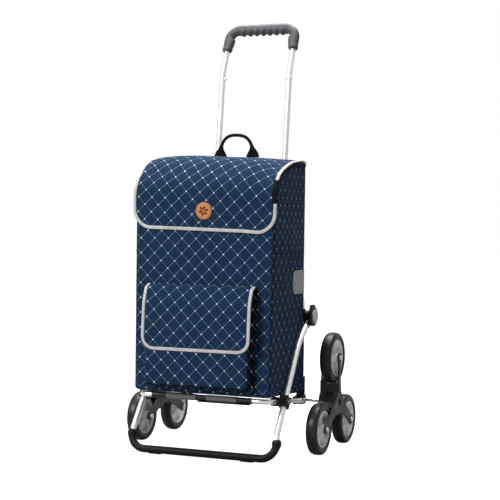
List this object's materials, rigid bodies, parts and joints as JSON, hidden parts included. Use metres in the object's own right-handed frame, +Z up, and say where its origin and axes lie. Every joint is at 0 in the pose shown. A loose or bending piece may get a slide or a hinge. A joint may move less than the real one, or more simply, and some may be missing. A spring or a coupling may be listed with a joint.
{
  "type": "folding shopping trolley",
  "caption": "Folding shopping trolley: leaning tube frame, stair-climbing wheel stars, folding stand and a square fabric bag with flap and front pocket.",
  "frame": {"origin": "on the ground, under the middle of the object's box", "axes": "+Z up, +Y towards the back where the handle leans, +X to the right when the bag's front is faced"},
  "size_m": [0.505, 0.4418, 1.035],
  "materials": {
    "tube": "satin anodised",
    "steel": "plated",
    "black_plastic": "moulded, fine grain",
    "grip_rubber": "soft moulded",
    "foot_rubber": "soft moulded",
    "star_plastic": "moulded, fine grain",
    "tyre": "rubber",
    "rim_plastic": "grey moulded",
    "sleeve_plastic": "ribbed grey",
    "knob_black": "moulded",
    "knob_grey": "light grey moulded",
    "bag_fabric": "woven polyester, navy with a thin light lattice",
    "webbing": "black webbing",
    "patch": "grey reflective",
    "badge": "tan",
    "board": "black board"
  },
  "bodies": {
    "frame": {"main_tube_left": "tube", "main_tube_right": "tube", "handle_tube": "tube", "handle_rivets": "steel", "handle_grip": "grip_rubber", "hanger_bar": "steel", "cross_bar": "steel", "axle": "steel", "axle_washers": "steel", "axle_caps": "steel", "axle_bracket_left": "black_plastic", "axle_bracket_right": "black_plastic", "platform_pins": "steel", "frame_collar_left": "black_plastic", "frame_collar_right": "black_plastic"},
    "star_left": {"star_carrier_left": "star_plastic", "star_cover_left": "star_plastic", "wheel_bolts_left": "steel", "wheel_nuts_left": "steel"},
    "wheel_top_left": {"tyre_top_left": "tyre", "rim_top_left": "rim_plastic"},
    "wheel_front_left": {"tyre_front_left": "tyre", "rim_front_left": "rim_plastic"},
    "wheel_rear_left": {"tyre_rear_left": "tyre", "rim_rear_left": "rim_plastic"},
    "star_right": {"star_carrier_right": "star_plastic", "star_cover_right": "star_plastic", "wheel_bolts_right": "steel", "wheel_nuts_right": "steel"},
    "wheel_top_right": {"tyre_top_right": "tyre", "rim_top_right": "rim_plastic"},
    "wheel_front_right": {"tyre_front_right": "tyre", "rim_front_right": "rim_plastic"},
    "wheel_rear_right": {"tyre_rear_right": "tyre", "rim_rear_right": "rim_plastic"},
    "platform": {"platform_tube": "tube", "ribbed_sleeves": "sleeve_plastic", "bar_collars": "black_plastic", "bar_strap": "webbing", "platform_clamps": "black_plastic", "stand_bolts": "steel"},
    "stand": {"stand_tube": "tube", "foot_sleeve": "foot_rubber", "foot_pads": "foot_rubber", "stand_clamps": "black_plastic", "top_fittings": "black_plastic", "knob_housing_left": "knob_black", "knob_housing_right": "knob_black"},
    "button_left": {"release_button_left": "knob_grey"},
    "button_right": {"release_button_right": "knob_grey"},
    "bag": {"bag_shell": "bag_fabric", "base_board": "board", "front_pocket": "bag_fabric", "side_patches": "patch", "bag_hooks": "black_plastic"},
    "top_flap": {"main_flap": "bag_fabric", "flap_badge": "badge", "carry_loop": "webbing"},
    "pocket_cover": {"pocket_flap": "bag_fabric"}
  },
  "joints": [
    {"name": "star_spin_left", "type": "hinge", "parent": "frame", "child": "star_left", "pos_m": [-0.226, 0.06963, 0.11268], "axis": [1, 0, 0], "continuous": true},
    {"name": "wheel_spin_top_left", "type": "hinge", "parent": "star_left", "child": "wheel_top_left", "pos_m": [-0.23, 0.06963, 0.21805], "axis": [1, 0, 0], "continuous": true},
    {"name": "wheel_spin_front_left", "type": "hinge", "parent": "star_left", "child": "wheel_front_left", "pos_m": [-0.23, -0.02162, 0.06], "axis": [1, 0, 0], "continuous": true},
    {"name": "wheel_spin_rear_left", "type": "hinge", "parent": "star_left", "child": "wheel_rear_left", "pos_m": [-0.23, 0.16087, 0.06], "axis": [1, 0, 0], "continuous": true},
    {"name": "star_spin_right", "type": "hinge", "parent": "frame", "child": "star_right", "pos_m": [0.226, 0.06963, 0.11268], "axis": [1, 0, 0], "continuous": true},
    {"name": "wheel_spin_top_right", "type": "hinge", "parent": "star_right", "child": "wheel_top_right", "pos_m": [0.23, 0.06963, 0.21805], "axis": [1, 0, 0], "continuous": true},
    {"name": "wheel_spin_front_right", "type": "hinge", "parent": "star_right", "child": "wheel_front_right", "pos_m": [0.23, -0.02162, 0.06], "axis": [1, 0, 0], "continuous": true},
    {"name": "wheel_spin_rear_right", "type": "hinge", "parent": "star_right", "child": "wheel_rear_right", "pos_m": [0.23, 0.16087, 0.06], "axis": [1, 0, 0], "continuous": true},
    {"name": "platform_fold", "type": "hinge", "parent": "frame", "child": "platform", "pos_m": [0, 0.04963, 0.1135], "axis": [-1, 0, 0], "range_deg": [0, 84]},
    {"name": "stand_fold", "type": "hinge", "parent": "platform", "child": "stand", "pos_m": [0, -0.11038, 0.1302], "axis": [1, 0, 0], "range_deg": [0, 103.1]},
    {"name": "button_press_left", "type": "slide", "parent": "stand", "child": "button_left", "axis": [1, 0, 0], "range_m": [0, 0.003], "stiffness_N_per_m": 1000, "springref_m": -0.002},
    {"name": "button_press_right", "type": "slide", "parent": "stand", "child": "button_right", "axis": [-1, 0, 0], "range_m": [0, 0.003], "stiffness_N_per_m": 1000, "springref_m": -0.002},
    {"name": "bag_lift", "type": "slide", "parent": "frame", "child": "bag", "axis": [0, 0, 1], "range_m": [0, 0.345]},
    {"name": "flap_open", "type": "hinge", "parent": "bag", "child": "top_flap", "pos_m": [0, 0.06012, 0.687], "axis": [-1, 0, 0], "range_deg": [0, 95]},
    {"name": "pocket_open", "type": "hinge", "parent": "bag", "child": "pocket_cover", "pos_m": [0, -0.18538, 0.396], "axis": [-1, 0, 0], "range_deg": [0, 110]}
  ],
  "couplings": [
    {"joint": "stand_fold", "follows": "platform_fold", "ratio": 1.2267},
    {"joint": "bag_lift", "follows": "platform_fold", "m_per_rad": 0.235}
  ]
}
